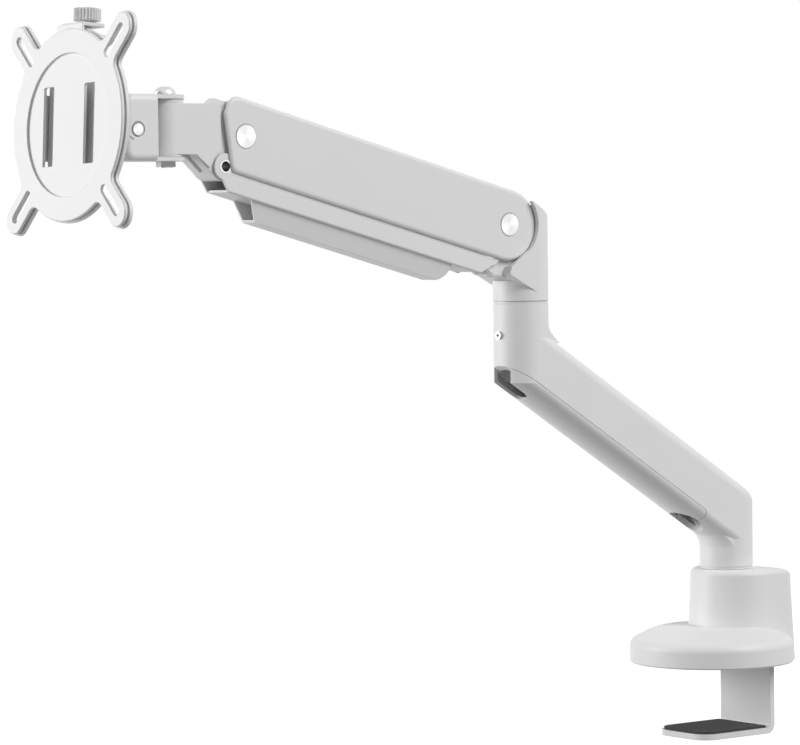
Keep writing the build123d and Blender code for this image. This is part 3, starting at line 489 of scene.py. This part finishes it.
def distance_from_axis(tree, centre):
    """The distance of a point from the line along X through a centre."""
    where = tree.nodes.new("ShaderNodeTexCoord")
    shift = tree.nodes.new("ShaderNodeMapping")
    shift.inputs["Location"].default_value = -centre
    tree.links.new(where.outputs["Object"], shift.inputs["Vector"])
    across = tree.nodes.new("ShaderNodeVectorMath")
    across.operation = "MULTIPLY"
    across.inputs[1].default_value = (0, 1, 1)
    tree.links.new(shift.outputs[0], across.inputs[0])
    length = tree.nodes.new("ShaderNodeVectorMath")
    length.operation = "LENGTH"
    tree.links.new(across.outputs[0], length.inputs[0])
    return length.outputs["Value"]


def ring_relief(tree, distance):
    """A bump in rings: the sine of the distance, one wave per ring."""
    waves = calculate(tree, "MULTIPLY", distance, 2 * math.pi / RING_PITCH)
    relief = tree.nodes.new("ShaderNodeBump")
    relief.inputs["Strength"].default_value = RING_STRENGTH
    relief.inputs["Distance"].default_value = RING_DEPTH
    tree.links.new(calculate(tree, "SINE", waves), relief.inputs["Height"])
    return relief.outputs[0]


print("rings every", round(RING_PITCH * 1000, 2), "mm")

# %% [markdown]
# The parts of the finish now come together. Each turned piece has its own centre and its own size of
# face, so each has a material of its own; one material for all would put the rings in the wrong place.

# %% Make the lathe finishes
SPUN_TONE = (0.86, 0.86, 0.86)
SPUN_ROUGHNESS = 0.30
SPUN_STRETCH = 0.75
# Painted shade: the share of the colour left past the faced end and inside the bore.
PAINTED_SHADE_SHARE = 0.38
CAP_FACE = 0.0066
PIN_FACE = 0.0032
HOLLOW_PIN_BORE = 0.003
HOLLOW_PIN_FACE = 0.004


def spun_metal(name, centre, face, bore=0):
    """Metal faced on a lathe round an axis along X, with painted shade past the face and inside the bore."""
    material = plain_metal(name, SPUN_TONE, SPUN_ROUGHNESS)
    tree = material.node_tree
    shader = tree.nodes["Principled BSDF"]
    shader.inputs["Anisotropic"].default_value = SPUN_STRETCH
    round_axis = tree.nodes.new("ShaderNodeTangent")
    round_axis.direction_type = "RADIAL"
    round_axis.axis = "X"
    tree.links.new(round_axis.outputs[0], shader.inputs["Tangent"])
    distance = distance_from_axis(tree, centre)
    tree.links.new(ring_relief(tree, distance), shader.inputs["Normal"])
    # Painted shade: the colour is darkened past the face and inside the bore.
    unshaded_face = calculate(tree, "COMPARE", distance, (face + bore) / 2, (face - bore) / 2)
    painted_shade = calculate(tree, "MULTIPLY_ADD", unshaded_face, 1 - PAINTED_SHADE_SHARE, PAINTED_SHADE_SHARE)
    shaded_tone = scaled(tree, tree.nodes["grain"].outputs["Colour"], painted_shade)
    tree.links.new(shaded_tone, shader.inputs["Base Color"])
    return material


rear_cap_metal = spun_metal("spun_cap_rear", middle("rear_pivot_caps"), CAP_FACE)
front_cap_metal = spun_metal("spun_cap_front", middle("front_pivot_caps"), CAP_FACE)
pin_metal = spun_metal("spun_pin", tilt_pin_end, PIN_FACE)
hollow_pin_metal = spun_metal(
    "spun_hollow_pin", middle("link_front_pin"), HOLLOW_PIN_FACE, HOLLOW_PIN_BORE
)
print("lathe finishes:", *[name for name in bpy.data.materials.keys() if name.startswith("spun")])

# %% [markdown]
# ## Give every solid its finish
#
# A solid that comes from the construction file already has a material slot. Its finish is put into
# that slot, and the mesh itself stays as it is.

# %% Dress the solids
FINISH = {
    "white_coat": white_coat,
    "white_plastic": white_plastic,
    "white_nylon": white_nylon,
    "white_screw": pale_screw,
    "dark_pad": dark_foam,
    "steel": plain_steel,
    "black_tube": black_paint,
}
OWN_FINISH = {
    "rear_pivot_caps": rear_cap_metal,
    "front_pivot_caps": front_cap_metal,
    "tilt_pin": pin_metal,
    "link_front_pin": hollow_pin_metal,
    "pan_bolt": bright_steel,
}


def dress(solid, material):
    """Put one finish into all of a solid's material slots."""
    if not solid.data.materials:
        solid.data.materials.append(material)
    for number in range(len(solid.data.materials)):
        solid.data.materials[number] = material


for entry in frame["record"]["subparts"]:
    name = entry["node"]
    dress(nodes[name], OWN_FINISH.get(name) or FINISH[entry["material_slot"]])
print("dressed", len(nodes), "solids")

# %% [markdown]
# ## The clamp screw's thread
#
# The clamp screw stands in a well behind the post and draws the jaw up to the desk. Its solid is a
# plain rod, which is all that collision needs. The Screw modifier could draw the thread, but a ridge
# that is spun up the axis with bmesh can be cut flat at both ends right away. Spare turns leave enough
# to cut. A screw is drawn round Z and in millimetres. The pitch is the one that couples this screw to
# the jaw.

# %% Draw the clamp screw's thread
TURN_STEPS = 24
SPARE_TURNS = 3


def thread(crest, root, pitch, low, high):
    """A threaded rod round Z: one ridge is spun up the axis, and both ends are cut flat."""
    mesh = bmesh.new()
    ridge = ((root, 0.0), (root, 0.12), (crest, 0.44), (crest, 0.68), (root, 1.0))
    start = low - SPARE_TURNS / 2 * pitch
    points = [mesh.verts.new((radius, 0, start + rise * pitch)) for radius, rise in ridge]
    lines = [mesh.edges.new(pair) for pair in zip(points, points[1:])]
    turns = math.ceil((high - low) / pitch) + SPARE_TURNS
    bmesh.ops.spin(
        mesh,
        geom=points + lines,
        axis=(0, 0, 1),
        dvec=(0, 0, pitch / TURN_STEPS),
        angle=2 * math.pi * turns,
        steps=TURN_STEPS * turns,
    )
    bmesh.ops.remove_doubles(mesh, verts=mesh.verts, dist=pitch / 100)
    for level, way in ((low, -1), (high, 1)):
        cut = bmesh.ops.bisect_plane(
            mesh,
            geom=mesh.verts[:] + mesh.edges[:] + mesh.faces[:],
            plane_co=(0, 0, level),
            plane_no=(0, 0, way),
            clear_outer=True,
        )
        rim = [part for part in cut["geom_cut"] if isinstance(part, bmesh.types.BMEdge)]
        bmesh.ops.edgeloop_fill(mesh, edges=rim)
    return mesh


clamp_rod = thread(crest=4.0, root=3.25, pitch=1.25, low=-43.4, high=0.6)
print("clamp screw's thread:", len(clamp_rod.faces), "faces")

# %% [markdown]
# ## The clamp screw's head
#
# The head is round, with a softened top edge and a socket for a hexagon key. A socket could be cut
# with a boolean, but bridging a round rim to a hexagon and drawing both downward gives clean faces.

# %% Draw the clamp screw's head
KEY_SIDES = 6


def socket_head(radius, low, height, soft, key, key_depth):
    """A round head above a low end, with a softened top edge and a hexagon socket in its top."""
    mesh = bmesh.new()
    rim = bmesh.ops.create_circle(mesh, segments=TURN_STEPS, radius=radius)["verts"]
    hexagon = bmesh.ops.create_circle(mesh, segments=KEY_SIDES, radius=key)["verts"]
    flats = [edge for edge in mesh.edges if edge.verts[0] in hexagon]
    bmesh.ops.subdivide_edges(mesh, edges=flats, cuts=TURN_STEPS // KEY_SIDES - 1)
    bmesh.ops.translate(mesh, verts=mesh.verts, vec=(0, 0, low + height))
    rim_lines = [edge for edge in mesh.edges if edge.verts[0] in rim]
    key_lines = [edge for edge in mesh.edges if edge not in rim_lines]
    bmesh.ops.bridge_loops(mesh, edges=rim_lines + key_lines)
    for lines, drop in ((rim_lines, height), (key_lines, key_depth)):
        grown = bmesh.ops.extrude_edge_only(mesh, edges=lines)["geom"]
        ends = [part for part in grown if isinstance(part, bmesh.types.BMVert)]
        bmesh.ops.translate(mesh, verts=ends, vec=(0, 0, -drop))
        foot = [part for part in grown if isinstance(part, bmesh.types.BMEdge)]
        bmesh.ops.edgeloop_fill(mesh, edges=[line for line in foot if line.is_boundary])
    bmesh.ops.bevel(
        mesh, geom=rim_lines, offset=soft, segments=3, profile=0.5, affect="EDGES", material=-1
    )
    return mesh


clamp_head = socket_head(radius=6.5, low=0.1, height=7.0, soft=0.6, key=3.3, key_depth=4.2)
print("clamp screw's head:", len(clamp_head.faces), "faces")

# %% [markdown]
# ## From a drawing to a piece on its joint
#
# A finished piece could be moved and turned as an object, but then a pattern on it would slide in the
# exported model. So the object stays at the origin, and its place is in the mesh: the shells of a
# screw are joined, scaled to metres and stood on the axis of the screw's own joint. There it turns in
# place, on the body of its joint, and stands for the plain solid.

# %% Put the clamp screw together
MM = 0.001


def on_axis(joint, turned_over=False):
    """The place of a piece whose Z is a joint's axis, with the joint's point as its origin."""
    axis = Vector(JOINT[joint]["axis"]) * (-1 if turned_over else 1)
    turn = Vector((0, 0, 1)).rotation_difference(axis).to_matrix().to_4x4()
    return Matrix.Translation(Vector(JOINT[joint]["pos_m"])) @ turn


def finish_screw(name, shells, place, screw, material):
    """Join shells drawn in millimetres into a piece in place of a screw's solid.

    Each screw is alone on a body that has the same name as its solid.
    """
    whole = bmesh.new()
    for shell in shells:
        part = bpy.data.meshes.new("part")
        bmesh.ops.recalc_face_normals(shell, faces=shell.faces)
        shell.to_mesh(part)
        shell.free()
        whole.from_mesh(part)
        bpy.data.meshes.remove(part)
    bmesh.ops.transform(whole, matrix=place @ Matrix.Scale(MM, 4), verts=whole.verts)
    mesh = bpy.data.meshes.new(name)
    whole.to_mesh(mesh)
    whole.free()
    mesh.materials.append(material)
    piece = bpy.data.objects.new(name, mesh)
    bpy.context.scene.collection.objects.link(piece)
    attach(piece, screw)
    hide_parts(screw)
    print(name, len(mesh.polygons), "faces")


finish_screw(
    "clamp_screw_threaded",
    (clamp_head, clamp_rod),
    on_axis("clamp_screw_turn", turned_over=True),
    "clamp_screw",
    plain_steel,
)

# %% [markdown]
# ## The tension screw
#
# Under the rear end of the spring arm a small screw moves the spring's anchor, which sets the balance.
# It is made by the same steps as the clamp screw, only smaller and with a finer thread.

# %% Make the tension screw
tension_head = socket_head(radius=4.0, low=8.4, height=2.8, soft=0.35, key=2.4, key_depth=1.8)
tension_rod = thread(crest=2.5, root=1.95, pitch=1.0, low=-12.0, high=8.6)
finish_screw(
    "tension_screw_threaded",
    (tension_head, tension_rod),
    on_axis("tension_screw_turn", turned_over=True),
    "tension_screw",
    plain_steel,
)

# %% [markdown]
# ## The thumb screw's head
#
# The thumb screw locks the screen plate on its carrier and is turned by hand, so its rim is fluted.
# Each flute could be cut out, but pulling in every second point of a circle before it is raised gives
# them all at once.

# %% Draw the thumb screw's head


def fluted_head(radius, flute, flutes, low, height, soft):
    """A thumb screw's head: every second point of the rim is drawn in, and the rim is raised."""
    mesh = bmesh.new()
    rim = bmesh.ops.create_circle(mesh, cap_ends=True, segments=2 * flutes, radius=radius)["verts"]
    rim.sort(key=lambda point: math.atan2(point.co.y, point.co.x))
    bmesh.ops.scale(mesh, verts=rim[::2], vec=(1 - flute / radius, 1 - flute / radius, 1))
    bmesh.ops.translate(mesh, verts=rim, vec=(0, 0, low))
    grown = bmesh.ops.extrude_face_region(mesh, geom=mesh.faces[:])["geom"]
    top = [part for part in grown if isinstance(part, bmesh.types.BMVert)]
    bmesh.ops.translate(mesh, verts=top, vec=(0, 0, height))
    edge = [line for line in mesh.edges if line.verts[0] in top and line.verts[1] in top]
    bmesh.ops.bevel(
        mesh, geom=edge, offset=soft, segments=4, profile=0.5, affect="EDGES", material=-1
    )
    return mesh


thumb_head = fluted_head(radius=7.75, flute=0.6, flutes=28, low=-1.2, height=7.0, soft=0.9)
print("thumb screw's head:", len(thumb_head.faces), "faces")

# %% [markdown]
# ## The thumb screw's collar and thread
#
# A turned collar sits under the head, and the thread goes down through the tab of the plate. A
# cylinder would do for the collar, but spinning its profile also gives the small chamfer below.

# %% Make the thumb screw
COLLAR_PROFILE = ((0, -1.9), (5.2, -1.9), (5.6, -1.5), (5.6, -0.1), (0, -0.1))


def turned(profile):
    """A solid of revolution round Z, from a profile of radius and height that starts on the axis."""
    mesh = bmesh.new()
    points = [mesh.verts.new((radius, 0, height)) for radius, height in profile]
    lines = [mesh.edges.new(pair) for pair in zip(points, points[1:])]
    bmesh.ops.spin(
        mesh,
        geom=points + lines,
        axis=(0, 0, 1),
        angle=2 * math.pi,
        steps=2 * TURN_STEPS,
        use_merge=True,
    )
    bmesh.ops.remove_doubles(mesh, verts=mesh.verts, dist=1e-4)
    return mesh


thumb_collar = turned(COLLAR_PROFILE)
thumb_rod = thread(crest=2.4, root=1.9, pitch=0.8, low=-14.1, high=-1.0)
finish_screw(
    "thumb_screw_fluted",
    (thumb_head, thumb_collar, thumb_rod),
    on_axis("thumb_screw_turn"),
    "thumb_screw",
    pale_screw,
)
